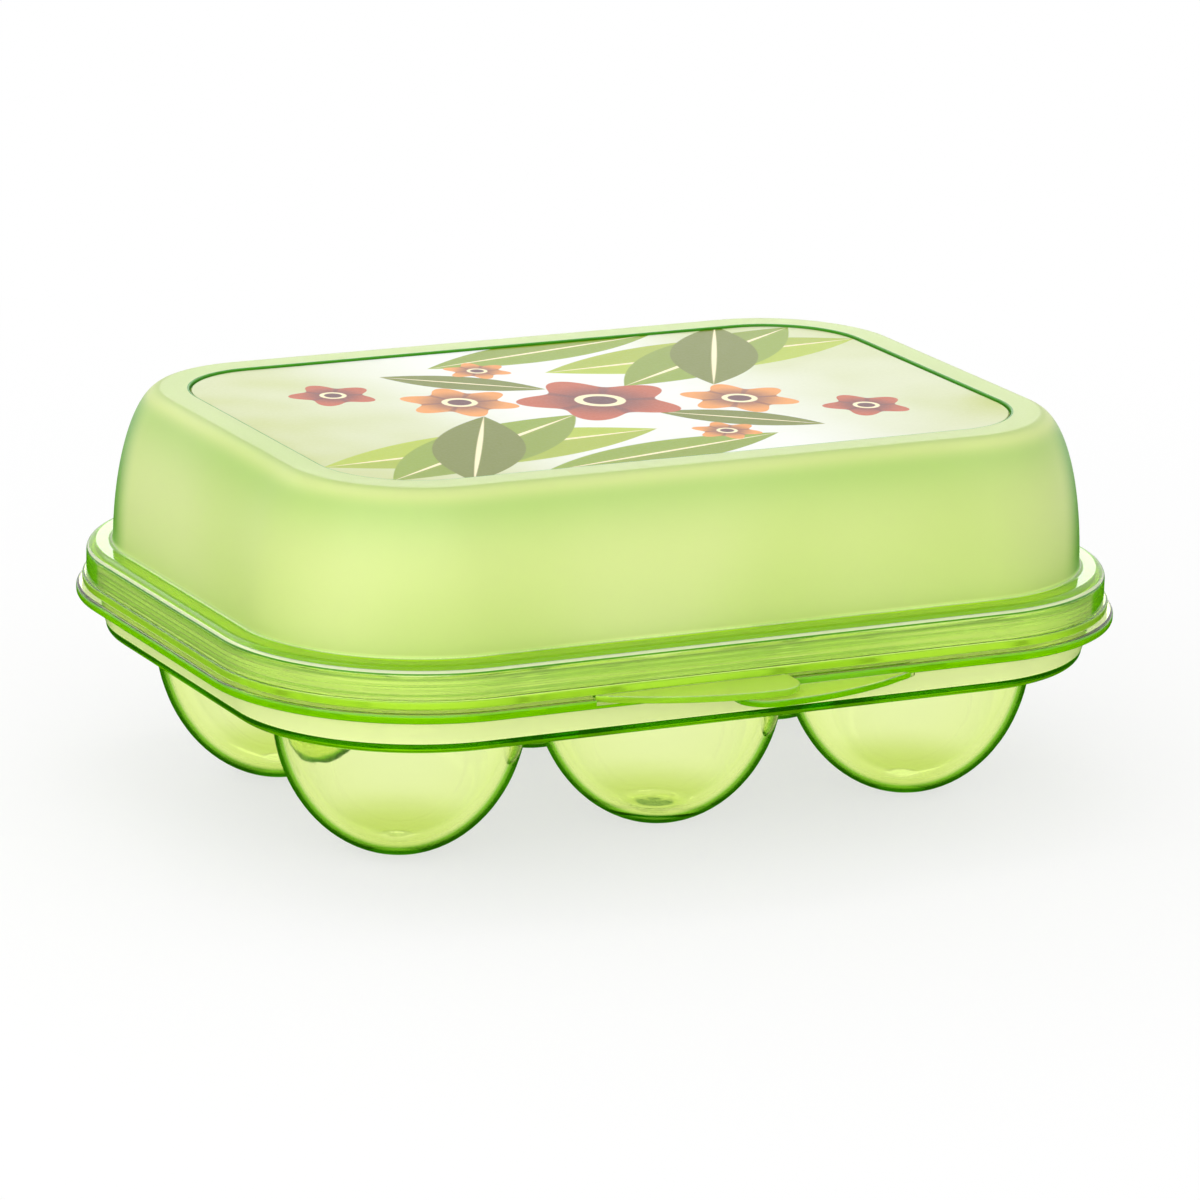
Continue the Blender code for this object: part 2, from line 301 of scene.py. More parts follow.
def bowl_outside():
    """(radius, z) from the foot up to a rounded root in the plate's underside."""
    foot_angle = math.degrees(math.asin(CUP_FOOT_RADIUS / CUP_RADIUS))
    drop = CUP_DEPTH / math.cos(math.radians(foot_angle))
    top_angle = -math.degrees(math.asin(ROOT_ROUND / drop))
    bowl = arc((0, PLATE_Z), (CUP_RADIUS, drop), foot_angle - 90, top_angle, CUP_RINGS)
    root = arc((bowl[-1][0] + ROOT_ROUND, PLATE_Z - ROOT_ROUND),
               (ROOT_ROUND, ROOT_ROUND), 180, 90, ROUND_SEGMENTS)
    return bowl + root[1:]


def gate_mark(radius):
    """The swelling and ripples that the mould's gate leaves in the bottom of a middle cup."""
    swell = (1 + math.cos(math.pi * min(radius / GATE_RADIUS, 1))) / 2
    fade = max(0, 1 - radius / (2 * GATE_RADIUS))
    return GATE_HEIGHT * swell + GATE_RIPPLE * fade * math.cos(2 * math.pi * radius / GATE_WAVE)


def bowl_inside(gated):
    """(radius, z) from the bowl's bottom up to its rounded mouth in the plate's top."""
    radius = CUP_RADIUS - WALL
    drop = CUP_DEPTH - WALL
    centre = GATE_CENTRE if gated else CUP_FOOT_RADIUS / 2
    start = math.degrees(math.asin(centre / radius)) - 90
    mouth_z = PLATE_Z + WALL - MOUTH_ROUND
    top_angle = -math.degrees(math.asin((PLATE_Z - mouth_z) / drop))
    bowl = arc((0, PLATE_Z), (radius, drop), start, top_angle, 2 * CUP_RINGS)
    if gated:
        bowl = [(across, height + gate_mark(across)) for across, height in bowl]
    mouth = arc((bowl[-1][0] + MOUTH_ROUND, mouth_z),
                (MOUTH_ROUND, MOUTH_ROUND), 180, 90, ROUND_SEGMENTS)
    return bowl + mouth[1:]


def make_tray():
    """The whole tray as one moulding, with its cups, flange, upstand, notch and tab."""
    model = bmesh.new()
    body = skin(model, [outline(reach, height) for reach, height in tray_profile()])
    under_edges = loop_edges(model, body[0])
    top_edges = loop_edges(model, body[-1])
    for axis in CUP_AXES:
        gated = abs(axis.x) < CUP_RADIUS
        for profile, edges in ((bowl_outside(), under_edges), (bowl_inside(gated), top_edges)):
            loops = skin(model, [circle(axis, radius, height) for radius, height in profile])
            model.faces.new(loops[0])
            edges += loop_edges(model, loops[-1])
    for edges in (under_edges, top_edges):
        bmesh.ops.triangle_fill(model, use_beauty=True, edges=edges, normal=(0, 0, 1))
    tray = to_object("tray_moulding", model)
    front_y = BODY_Y - CORNER_Y
    low = (-TAB_SWEEP - FIT_GAP, front_y - FLANGE_REACH - CUT_OVERRUN, NOTCH_Z)
    high = (TAB_HOOK + FIT_GAP, front_y - TAB_ROOT_REACH + FIT_GAP, FLANGE_TOP + CUT_OVERRUN)
    combine(tray, cutter_box(low, high), "DIFFERENCE")
    combine(tray, pull_tab(1, TRAY_TAB_Z), "UNION")
    return tray


def cutter_box(low, high):
    """A plain block between two corners."""
    corners = [(low[0], low[1]), (high[0], low[1]), (high[0], high[1]), (low[0], high[1])]
    rings = [[Vector((x, y, height)) for x, y in corners] for height in (low[2], high[2])]
    return loft("cutter", rings)


def lid_profile():
    """The lid's section as (reach, z), from the recess's floor out, down and back inside."""
    recess = [(RECESS_REACH - RECESS_ROUND, RECESS_Z), (RECESS_REACH, RECESS_Z + RECESS_ROUND)]
    recess += arc((RECESS_REACH + RECESS_ROUND, DOME_TOP - RECESS_ROUND),
                  (RECESS_ROUND, RECESS_ROUND), 180, 90, ROUND_SEGMENTS)
    foot_angle = math.degrees(math.asin(DOME_FOOT_ROUND / DOME_RISE))
    dome = arc((DOME_TOP_REACH, LEDGE_TOP), (DOME_DRAW, DOME_RISE), 90, foot_angle, DOME_SEGMENTS)
    fillet = arc((DOME_REACH, LEDGE_TOP + DOME_FOOT_ROUND),
                 (DOME_FOOT_ROUND, DOME_FOOT_ROUND), 180, 270, ROUND_SEGMENTS)[1:]
    ledge = arc((SKIRT_REACH - LEDGE_ROUND, LEDGE_TOP - LEDGE_ROUND),
                (LEDGE_ROUND, LEDGE_ROUND), 90, 0, ROUND_SEGMENTS)
    bead_top = LID_EDGE + BEAD_HEIGHT
    bead = [(SKIRT_REACH, bead_top)]
    bead += arc((BEAD_REACH - BEAD_ROUND, bead_top - BEAD_ROUND),
                (BEAD_ROUND, BEAD_ROUND), 90, 0, ROUND_SEGMENTS)
    bead += arc((BEAD_REACH - BEAD_ROUND, LID_EDGE + BEAD_ROUND),
                (BEAD_ROUND, BEAD_ROUND), 0, -90, ROUND_SEGMENTS)
    inner_round = LEDGE_ROUND - WALL
    under = LEDGE_TOP - WALL
    skirt = [(SKIRT_INNER_REACH, LID_EDGE)]
    for step in range(RIDGES * RIDGE_SEGMENTS + 1):
        swell = (1 - math.cos(2 * math.pi * step / RIDGE_SEGMENTS)) / 2
        height = LID_EDGE + RIDGE_START + RIDGE_PITCH * step / RIDGE_SEGMENTS
        skirt.append((SKIRT_INNER_REACH + RIDGE_DEPTH * swell, height))
    skirt += arc((SKIRT_INNER_REACH - inner_round, under - inner_round),
                 (inner_round, inner_round), 0, 90, ROUND_SEGMENTS)
    inside_foot = [(DOME_REACH - WALL, under)]
    inside = arc((DOME_TOP_REACH, under), (DOME_DRAW - WALL, DOME_RISE), foot_angle, 90, DOME_SEGMENTS)
    ceiling = [(RECESS_REACH - WALL, DOME_TOP - WALL), (RECESS_REACH - WALL, RECESS_Z - WALL)]
    return recess + dome + fillet + ledge + bead + skirt + inside_foot + inside + ceiling


def make_lid():
    """The lid as one moulding, with its recess, ridged skirt, bead and tab."""
    lid = loft("lid_moulding", [outline(reach, height) for reach, height in lid_profile()])
    combine(lid, pull_tab(-1, LID_TAB_Z), "UNION")
    return lid


def make_label():
    """The printed panel, with softly rounded edges."""
    reach = label_high.x - CORNER_X
    soft = (label_high.z - label_low.z) / 4
    low = label_low.z
    high = label_high.z
    profile = [(reach - soft, low), (reach, low + soft), (reach, high - soft), (reach - soft, high)]
    return loft("label_panel", [outline(at, height) for at, height in profile])


# Materials

class Tree:
    """A material's node tree, with short calls for the nodes used here."""

    def __init__(self, name):
        self.material = bpy.data.materials.new(name)
        self.material.use_nodes = True
        self.nodes = self.material.node_tree.nodes
        self.links = self.material.node_tree.links
        self.shader = self.nodes["Principled BSDF"]
        self.output = self.nodes["Material Output"]
        self.place = self.add("ShaderNodeTexCoord").outputs["Object"]

    def add(self, kind, **settings):
        node = self.nodes.new(kind)
        for key, value in settings.items():
            setattr(node, key, value)
        return node

    def feed(self, socket, value):
        """Links a socket to an output, or sets its number or colour."""
        if isinstance(value, bpy.types.NodeSocket):
            self.links.new(value, socket)
        else:
            socket.default_value = value

    def math(self, operation, first, second=0.0, third=0.0):
        node = self.add("ShaderNodeMath", operation=operation)
        for socket, value in zip(node.inputs, (first, second, third)):
            self.feed(socket, value)
        return node.outputs[0]

    def both(self, first, second):
        """The product of two masks."""
        return self.math("MULTIPLY", first, second)

    def either(self, first, second):
        """The larger of two masks."""
        return self.math("MAXIMUM", first, second)

    def noise(self, scale, detail=3.0, stretch=(1, 1, 1)):
        """A noise between 0 and 1 in the piece's own coordinates; scale is per metre."""
        mapping = self.add("ShaderNodeMapping")
        self.feed(mapping.inputs["Vector"], self.place)
        mapping.inputs["Scale"].default_value = stretch
        node = self.add("ShaderNodeTexNoise")
        self.feed(node.inputs["Vector"], mapping.outputs[0])
        node.inputs["Scale"].default_value = scale
        node.inputs["Detail"].default_value = detail
        return node.outputs["Fac"]

    def split(self, vector, axis):
        node = self.add("ShaderNodeSeparateXYZ")
        self.feed(node.inputs[0], vector)
        return node.outputs[axis]

    def axis(self, axis):
        return self.split(self.place, axis)

    def upward(self):
        """How far the surface faces up: 1 for a top, 0 for a wall, -1 for an underside."""
        return self.split(self.add("ShaderNodeNewGeometry").outputs["Normal"], "Z")

    def within(self, value, low, high):
        """1 between the two limits and 0 outside them."""
        above = self.math("GREATER_THAN", value, low)
        return self.both(above, self.math("LESS_THAN", value, high))

    def length(self, first, second):
        """The distance that two coordinates make."""
        first_square = self.math("MULTIPLY", first, first)
        second_square = self.math("MULTIPLY", second, second)
        return self.math("SQRT", self.math("ADD", first_square, second_square))

    def beyond(self, axis, middle, size):
        """How far a coordinate lies past a distance from the middle, on either side."""
        centred = self.math("SUBTRACT", self.axis(axis), middle)
        return self.math("SUBTRACT", self.math("ABSOLUTE", centred), size)

    def reach(self):
        """How far a point lies outside the rectangle of the corner centres."""
        over_x = self.beyond("X", 0.0, CORNER_X)
        over_y = self.beyond("Y", BODY_Y, CORNER_Y)
        outer = self.length(self.math("MAXIMUM", over_x, 0.0), self.math("MAXIMUM", over_y, 0.0))
        inner = self.math("MINIMUM", self.math("MAXIMUM", over_x, over_y), 0.0)
        return self.math("ADD", outer, inner)

    def between(self, value, low, high, to_low, to_high, kind="SMOOTHSTEP"):
        node = self.add("ShaderNodeMapRange", interpolation_type=kind)
        for socket, number in zip(node.inputs, (value, low, high, to_low, to_high)):
            self.feed(socket, number)
        return node.outputs[0]

    def rise(self, value, low, high, top=1.0):
        """0 up to the lower limit, then smoothly up to the top at the higher one."""
        return self.between(value, low, high, 0.0, top)

    def fall(self, value, low, high, top=1.0):
        """The top up to the lower limit, then smoothly down to 0 at the higher one."""
        return self.between(value, low, high, top, 0.0)

    def mix(self, share, first, second):
        """Mixes two colours, which are the node's inputs 6 and 7."""
        node = self.add("ShaderNodeMix", data_type="RGBA")
        self.feed(node.inputs[0], share)
        self.feed(node.inputs[6], first)
        self.feed(node.inputs[7], second)
        return node.outputs[2]

    def mix_value(self, share, first, second):
        """Mixes two numbers, which are the node's inputs 2 and 3."""
        node = self.add("ShaderNodeMix", data_type="FLOAT")
        self.feed(node.inputs[0], share)
        self.feed(node.inputs[2], first)
        self.feed(node.inputs[3], second)
        return node.outputs[0]

    def bump(self, height, distance, strength):
        node = self.add("ShaderNodeBump")
        self.feed(node.inputs["Height"], height)
        node.inputs["Distance"].default_value = distance
        node.inputs["Strength"].default_value = strength
        self.feed(self.shader.inputs["Normal"], node.outputs[0])

    def tint(self, colour, density):
        """Absorption inside the wall, so that long paths through the plastic go deep green."""
        node = self.add("ShaderNodeVolumeAbsorption")
        node.inputs["Color"].default_value = (*colour, 1)
        node.inputs["Density"].default_value = density
        self.links.new(node.outputs[0], self.output.inputs["Volume"])


def linear(red, green, blue):
    """An sRGB colour of 0 to 255 as Blender's linear values."""
    values = []
    for level in (red, green, blue):
        share = level / 255
        values.append(share / 12.92 if share <= 0.04045 else ((share + 0.055) / 1.055) ** 2.4)
    return (*values, 1)


WHITE = (1, 1, 1, 1)

# Plastic: colour and density of the absorption, and refraction
TRAY_GLASS = (0.86, 0.985, 0.05)
LID_GLASS = (0.76, 0.99, 0.05)
TINT_DENSITY = 220
PLASTIC_IOR = 1.49
LID_GLOSS = 0.25

# How a wall's tint and painted shade grow as it turns from face on, at 0, to edge on, at 1: deep green
# at a clear wall's edges, partly the longer path through green plastic and partly painted shade for dark
# surroundings seen through the wall.
# The two delays put it off above the tray's plate and on the lid.
EDGE_START = 0.60
EDGE_HALF = 0.67
EDGE_DEEP = 0.76
EDGE_FADE = 0.84
RIM_DELAY = 0.07
LID_DELAY = 0.05
BOWL_EDGE = (0.52, 0.64)
UPRIGHT_EDGE = (0.64, 0.70)
SIDE_EDGE = (0.58, 0.90)
HALF_GREEN = (0.12, 0.45, 0.02, 1)
DEEP_GREEN = (0.002, 0.05, 0.0, 1)
OUTER_GREEN = (0.03, 0.22, 0.002, 1)
RIM_GREEN = (0.012, 0.17, 0.0, 1)

# Colours of the tray's zones. The edge glow is a painted glow of light carried along the clear wall to
# its rims, the dark line is painted shade at the plate's foot, and the wall's and the tab top's colours
# are painted light.
BOWL_GREEN = (0.72, 0.80, 0.40, 1)
WALL_PAINTED_LIGHT = linear(246, 255, 184)
EDGE_GLOW = linear(120, 204, 0)
PAINTED_SHADE_LINE = linear(30, 110, 0)
TAB_PAINTED_LIGHT = linear(226, 252, 112)

# Colours of the lid's zones. The side, shoulder, crown, lip and foot colours are painted shade, the
# side's partly the longer path through green plastic; the ledge glow and bead colour are painted glow,
# the ledge cream a painted highlight and the ledge line painted shade; the skirt's colour and lines are
# painted light.
DOME_THIN = linear(234, 246, 164)
DOME_THICK = linear(222, 240, 144)
SIDE_PAINTED_SHADE = linear(108, 182, 0)
SHOULDER_PAINTED_SHADE = linear(104, 194, 30)
CROWN_PAINTED_SHADE = linear(150, 190, 70)
LIP_PAINTED_SHADE = linear(60, 160, 0)
FOOT_PAINTED_SHADE = linear(100, 150, 0)
LEDGE_GLOW = linear(158, 214, 0)
LEDGE_PAINTED_HIGHLIGHT = linear(252, 254, 214)
LEDGE_PAINTED_SHADE = linear(64, 144, 0)
SKIRT_PAINTED_LIGHT = linear(226, 250, 118)
SKIRT_PAINTED_LINE = linear(170, 216, 44)
BEAD_PAINTED_GLOW = linear(190, 232, 60)

# Shares of transmission that the zones keep
WALL_CLEAR = 0.25
EDGE_CLEAR = 0.5
SKIRT_CLEAR = 0.70
DOME_CLEAR = 0.35

# Shares of a zone's colour over the one below it
SHOULDER_SHARE = 0.3
CROWN_SHARE = 0.3
LINES_SHARE = 0.75
SKIRT_LIGHT_SHARE = 0.85
BEAD_SHARE = 0.7
CREAM_SHARE = 0.9

# Ranges of the upward direction that pick the zones out
EDGE_FACING = (0.02, 0.30)
FOOT_FACING = (-0.97, -0.02)
FOOT_BAND_FACING = (-0.45, -0.30)
FLANGE_FACING = (-0.8, 0.6)
WALL_FACING = (-0.6, 0.1)
TAB_FACING = (0.6, 0.8)
SIDE_FACING = (0.35, 0.75)
SHOULDER_RISE = (0.14, 0.50)
SHOULDER_FALL = (0.50, 0.75)
CROWN_FACING = (0.80, 1.0)
LEDGE_FACING = (0.58, 0.66)
CREAM_FACING = (0.36, 0.60)
LINE_FACING = (0.20, 0.36)
BEAD_FACING = (-0.9, 0.6)
UPRIGHT_FACING = (-0.3, 0.3)
SKIRT_FACING = (-0.2, 0.9)

# Heights and reaches that pick the tray's zones out
BOWL_HEIGHTS = (1 * MM, 8 * MM)
PLATE_HEIGHTS = (PLATE_Z - 1 * MM, PLATE_Z + 1 * MM)
FOOT_HEIGHTS = (PLATE_Z - 0.1 * MM, PLATE_Z + FOOT_ROUND + 0.4 * MM)
FOOT_REACHES = (PLATE_REACH - FOOT_ROUND, PLATE_REACH - 0.9 * FOOT_ROUND)
WALL_HEIGHTS = (PLATE_Z + FOOT_ROUND + 0.5 * MM, FLANGE_Z)
FLANGE_REACHES = (FLANGE_REACH - FLANGE_ROUND, FLANGE_REACH - 0.3 * MM)

# Heights and reaches that pick the lid's zones out
BEAD_REACHES = (BEAD_REACH - 0.4 * MM, BEAD_REACH - 0.2 * MM)
SKIRT_HEIGHTS = (LID_EDGE + BEAD_HEIGHT, LEDGE_TOP - LEDGE_ROUND)
LEDGE_HEIGHTS = (LEDGE_TOP - 1.3 * MM, LEDGE_TOP - 0.9 * MM)
GLOSS_HEIGHTS = (LEDGE_TOP - LEDGE_ROUND, LEDGE_TOP - 0.5 * MM)
FROST_HEIGHTS = (LEDGE_TOP + 0.1 * MM, LEDGE_TOP + 0.4 * MM)
FOOT_LINE_HEIGHTS = (LEDGE_TOP + 0.5 * MM, LEDGE_TOP + 0.8 * MM)
FOOT_LINE_REACHES = (DOME_REACH + 0.2 * MM, DOME_REACH + 0.8 * MM)
LIP_HEIGHTS = (DOME_TOP - 1.5 * MM, DOME_TOP - 1.0 * MM)
LIP_REACHES = (RECESS_REACH - 0.1 * MM, RECESS_REACH + 0.45 * MM)

# How far outside its rim a tab's top sets in
TAB_START = 0.2 * MM
TAB_FULL = 0.6 * MM

# Noises per metre, and the depths of their bumps
WEAR_SCALE = 900
FLOW_SCALE = 55
FLOW_STRETCH = (1, 1, 2.5)
FLOW_DEPTH = 0.25 * MM
FLOW_STRENGTH = 0.25
EJECTOR_LINE = 0.12 * MM
EJECTOR_SHARE = 0.5
CLOUD_SCALE = 16
SKIRT_LINES_SCALE = 30
SKIRT_LINES_STRETCH = (0.3, 0.3, 40)
GRAIN_SCALE = 2600
GRAIN_DEPTH = 0.03 * MM
GRAIN_STRENGTH = 0.3


def layer_facing(tree):
    """0 where the surface faces the eye, and 1 where it is seen edge on."""
    node = tree.add("ShaderNodeLayerWeight")
    node.inputs["Blend"].default_value = 0.5
    return node.outputs["Facing"]


def edge_tint_and_shade(tree, facing, upward, deep, rim):
    """White face on, and deep green where a clear wall is seen edge on, but not on tops: partly the
    wall's own tint over a longer path, partly painted shade.
    """
    ramp = tree.add("ShaderNodeValToRGB")
    tree.feed(ramp.inputs[0], facing)
    stops = ramp.color_ramp.elements
    stops[0].position = EDGE_START
    stops[0].color = WHITE
    stops[1].position = 1.0
    stops[1].color = rim
    for position, colour in ((EDGE_HALF, HALF_GREEN), (EDGE_DEEP, deep), (EDGE_FADE, deep)):
        stop = stops.new(position)
        stop.color = colour
    level = tree.rise(upward, *EDGE_FACING)
    return tree.mix(level, ramp.outputs[0], WHITE)


def tab_top(tree, reach, upward, rim_reach):
    """The top of a pull tab, which lies outside its rim."""
    outside = tree.rise(reach, rim_reach + TAB_START, rim_reach + TAB_FULL)
    return tree.both(outside, tree.rise(upward, *TAB_FACING))


def clear_plastic():
    """The tray: polished and clear, with faint flow marks, painted glow and shade lines at its edges and
    a pale, less clear wall of painted light.
    """
    tree = Tree("tray_clear_green")
    shader = tree.shader
    height = tree.axis("Z")
    reach = tree.reach()
    upward = tree.upward()
    later = tree.rise(height, *PLATE_HEIGHTS, RIM_DELAY)
    facing = tree.math("SUBTRACT", layer_facing(tree), later)
    # Painted shade at the tray's walls seen edge on, partly the longer path through green plastic
    tint = edge_tint_and_shade(tree, facing, upward, DEEP_GREEN, OUTER_GREEN)
    bottom = tree.both(tree.fall(height, *BOWL_HEIGHTS), tree.fall(facing, *BOWL_EDGE))
    tint = tree.mix(bottom, tint, BOWL_GREEN)

    # Painted glow band with a painted shade line along the plate's foot
    foot = tree.both(tree.within(height, *FOOT_HEIGHTS), tree.within(upward, *FOOT_FACING))
    foot = tree.both(foot, tree.rise(reach, *FOOT_REACHES))
    band = tree.mix(tree.rise(upward, *FOOT_BAND_FACING), EDGE_GLOW, PAINTED_SHADE_LINE)
    tint = tree.mix(foot, tint, band)
    # Painted glow along the flange's outer edge
    flange = tree.both(tree.rise(reach, *FLANGE_REACHES), tree.within(upward, *FLANGE_FACING))
    tint = tree.mix(flange, tint, EDGE_GLOW)
    # Painted light on the wall under the flange, with less transmission, to lighten it in the flange's
    # shade
    wall = tree.both(tree.within(height, *WALL_HEIGHTS), tree.within(upward, *WALL_FACING))
    wall = tree.both(wall, tree.math("LESS_THAN", reach, UPSTAND_REACH + FIT_GAP))
    tint = tree.mix(wall, tint, WALL_PAINTED_LIGHT)
    # Painted light on the top of the tray's tab
    tab = tab_top(tree, reach, upward, FLANGE_REACH)
    tint = tree.mix(tab, tint, TAB_PAINTED_LIGHT)
    tree.feed(shader.inputs["Base Color"], tint)
    # The zones of painted glow and light keep less transmission
    glow = tree.either(tree.either(foot, flange), tab)
    clear = tree.between(glow, 0, 1, 1.0, EDGE_CLEAR, "LINEAR")
    tree.feed(shader.inputs["Transmission Weight"], tree.mix_value(wall, clear, WALL_CLEAR))
    shader.inputs["IOR"].default_value = PLASTIC_IOR

    wear = tree.noise(WEAR_SCALE, 4)
    tree.feed(shader.inputs["Roughness"], tree.between(wear, 0.35, 0.75, 0.015, 0.06))
    flow = tree.noise(FLOW_SCALE, 2, FLOW_STRETCH)
    away = tree.length(tree.beyond("X", 0.0, EJECTOR_X), tree.beyond("Y", BODY_Y, EJECTOR_Y))
    mark = tree.within(away, EJECTOR_RADIUS - EJECTOR_LINE, EJECTOR_RADIUS + EJECTOR_LINE)
    tree.bump(tree.math("MULTIPLY_ADD", mark, EJECTOR_SHARE, flow), FLOW_DEPTH, FLOW_STRENGTH)
    tree.tint(TRAY_GLASS, TINT_DENSITY)
    return tree.material


def dome_colour(tree, height, reach, upward, facing):
    """The frosted dome: a cloudy thickness, sides greener with painted shade and partly the longer path
    through the plastic, painted shade on the shoulder and crown, and two thin lines of painted shade at
    the recess edge and the dome's foot.
    """
    thick = tree.rise(tree.noise(CLOUD_SCALE, 1), 0.35, 0.65)
    dome = tree.mix(thick, DOME_THIN, DOME_THICK)
    # Darker green at the dome's silhouette: partly the longer path through green plastic, partly painted
    # shade
    side = tree.both(tree.rise(facing, *SIDE_EDGE), tree.fall(upward, *SIDE_FACING))
    dome = tree.mix(side, dome, SIDE_PAINTED_SHADE)
    # Painted shade in a band below the crown
    shoulder = tree.both(tree.rise(upward, *SHOULDER_RISE, SHOULDER_SHARE),
                         tree.fall(upward, *SHOULDER_FALL))
    dome = tree.mix(shoulder, dome, SHOULDER_PAINTED_SHADE)
    # Painted shade on the dome's upward-facing crown
    dome = tree.mix(tree.rise(upward, *CROWN_FACING, CROWN_SHARE), dome, CROWN_PAINTED_SHADE)
    # Painted shade line where the recess's wall meets the crown
    lip = tree.both(tree.within(reach, *LIP_REACHES), tree.rise(height, *LIP_HEIGHTS))
    dome = tree.mix(lip, dome, LIP_PAINTED_SHADE)
    # Painted shade line in the crease at the dome's foot
    foot_line = tree.both(tree.within(reach, *FOOT_LINE_REACHES), tree.fall(height, *FOOT_LINE_HEIGHTS))
    return tree.mix(foot_line, dome, FOOT_PAINTED_SHADE)


def frosted_plastic():
    """The lid: frosted on the dome, clear below it, with painted light and lines on the skirt and
    painted glow, highlight and shade lines at its rims.
    """
    tree = Tree("lid_frosted_green")
    shader = tree.shader
    shader.inputs["IOR"].default_value = PLASTIC_IOR
    shader.inputs["Specular IOR Level"].default_value = LID_GLOSS
    height = tree.axis("Z")
    reach = tree.reach()
    upward = tree.upward()
    facing = layer_facing(tree)
    frost = tree.rise(height, *FROST_HEIGHTS)
    dome = dome_colour(tree, height, reach, upward, facing)

    # Painted glow on the ledge's top, a painted highlight on its round and a painted shade line below
    # that
    ledge = tree.both(tree.rise(height, *LEDGE_HEIGHTS), tree.rise(upward, *LEDGE_FACING))
    rounded = tree.both(tree.within(height, LEDGE_TOP - LEDGE_ROUND, LEDGE_TOP),
                        tree.math("GREATER_THAN", reach, SKIRT_REACH - LEDGE_ROUND))
    cream = tree.both(rounded, tree.within(upward, *CREAM_FACING))
    line = tree.both(rounded, tree.within(upward, *LINE_FACING))
    # Painted glow on the bead
    bead = tree.both(tree.rise(reach, *BEAD_REACHES), tree.within(upward, *BEAD_FACING))
    # Painted glow at the skirt's ends seen edge on
    upright = tree.both(tree.rise(facing, *UPRIGHT_EDGE), tree.within(upward, *UPRIGHT_FACING))
    # Painted light on the clear skirt: a pale colour with less transmission
    skirt_light = tree.both(tree.within(height, *SKIRT_HEIGHTS), tree.within(upward, *SKIRT_FACING))
    tab = tab_top(tree, reach, upward, BEAD_REACH)
    glow = tree.either(tree.either(ledge, bead), upright)
    glow = tree.both(glow, tree.between(frost, 0, 1, 1.0, 0.0, "LINEAR"))

    # Painted shade at the lid's clear edges seen edge on, partly the longer path through green plastic
    clear = edge_tint_and_shade(tree, tree.math("SUBTRACT", facing, LID_DELAY), upward, RIM_GREEN, RIM_GREEN)
    # Painted lines on the skirt that stand in for its inner ridges seen through the wall
    streaks = tree.noise(SKIRT_LINES_SCALE, 2, SKIRT_LINES_STRETCH)
    lined = tree.mix(tree.rise(streaks, 0.42, 0.62, LINES_SHARE), SKIRT_PAINTED_LIGHT, SKIRT_PAINTED_LINE)
    clear = tree.mix(tree.both(skirt_light, SKIRT_LIGHT_SHARE), clear, lined)
    # Painted glow at the ledge, the bead and the skirt's ends
    clear = tree.mix(glow, clear, tree.mix(ledge, EDGE_GLOW, LEDGE_GLOW))
    # Painted glow on the bead
    clear = tree.mix(tree.both(bead, BEAD_SHARE), clear, BEAD_PAINTED_GLOW)
    # Painted highlight on the ledge's round, then a painted shade line under it
    clear = tree.mix(tree.both(cream, CREAM_SHARE), clear, LEDGE_PAINTED_HIGHLIGHT)
    clear = tree.mix(line, clear, LEDGE_PAINTED_SHADE)
    # Painted light on the top of the lid's tab
    clear = tree.mix(tab, clear, TAB_PAINTED_LIGHT)
    tree.feed(shader.inputs["Base Color"], tree.mix(frost, clear, dome))
    glow = tree.either(tree.either(glow, tree.either(cream, line)), tab)
    skirt_light_clear = tree.between(skirt_light, 0, 1, 1.0, SKIRT_CLEAR, "LINEAR")
    part_clear = tree.mix_value(glow, skirt_light_clear, EDGE_CLEAR)
    tree.feed(shader.inputs["Transmission Weight"], tree.mix_value(frost, part_clear, DOME_CLEAR))

    grain = tree.noise(GRAIN_SCALE, 3)
    rough = tree.between(grain, 0.3, 0.7, 0.30, 0.38)
    skirt = tree.between(height, *GLOSS_HEIGHTS, 0.10, 0.03)
    tree.feed(shader.inputs["Roughness"], tree.mix_value(frost, skirt, rough))
    tree.bump(grain, GRAIN_DEPTH, GRAIN_STRENGTH)
    tree.tint(LID_GLASS, TINT_DENSITY)
    return tree.material


# The label's colours
PAPER = linear(234, 236, 230)
WASH = linear(178, 190, 70)
OLIVE = linear(110, 122, 0)
LEAF_GREEN = linear(134, 160, 0)
PALE_LEAF = linear(172, 192, 30)
TERRACOTTA = linear(188, 84, 44)
ORANGE = linear(232, 150, 62)
PLUM = linear(94, 44, 52)
CREAM = linear(250, 236, 190)

# Leaves as (x, y, angle, length, width, colour), flowers as (x, y, radius, petals, colour), in mm
LEAVES = (
    (-74, -30, 4, 74, 24, PALE_LEAF),
    (-66, -44, 32, 66, 22, LEAF_GREEN),
    (-52, -50, 62, 52, 18, OLIVE),
    (-36, -48, 12, 58, 15, LEAF_GREEN),
    (74, 30, 184, 74, 24, PALE_LEAF),
    (66, 44, 212, 66, 22, LEAF_GREEN),
    (52, 50, 242, 52, 18, OLIVE),
    (36, 48, 192, 58, 15, LEAF_GREEN),
    (6, -12, -38, 34, 11, OLIVE),
    (-6, 12, 142, 34, 11, OLIVE),
)
FLOWERS = (
    (0, 0, 17, 5, TERRACOTTA),
    (-27, 8, 12, 6, ORANGE),
    (27, -8, 12, 6, ORANGE),
    (-48, 22, 9, 5, TERRACOTTA),
    (48, -22, 9, 5, TERRACOTTA),
    (-12, 31, 7, 6, ORANGE),
    (12, -31, 7, 6, ORANGE),
)
PRINT_EDGE = 0.15 * MM

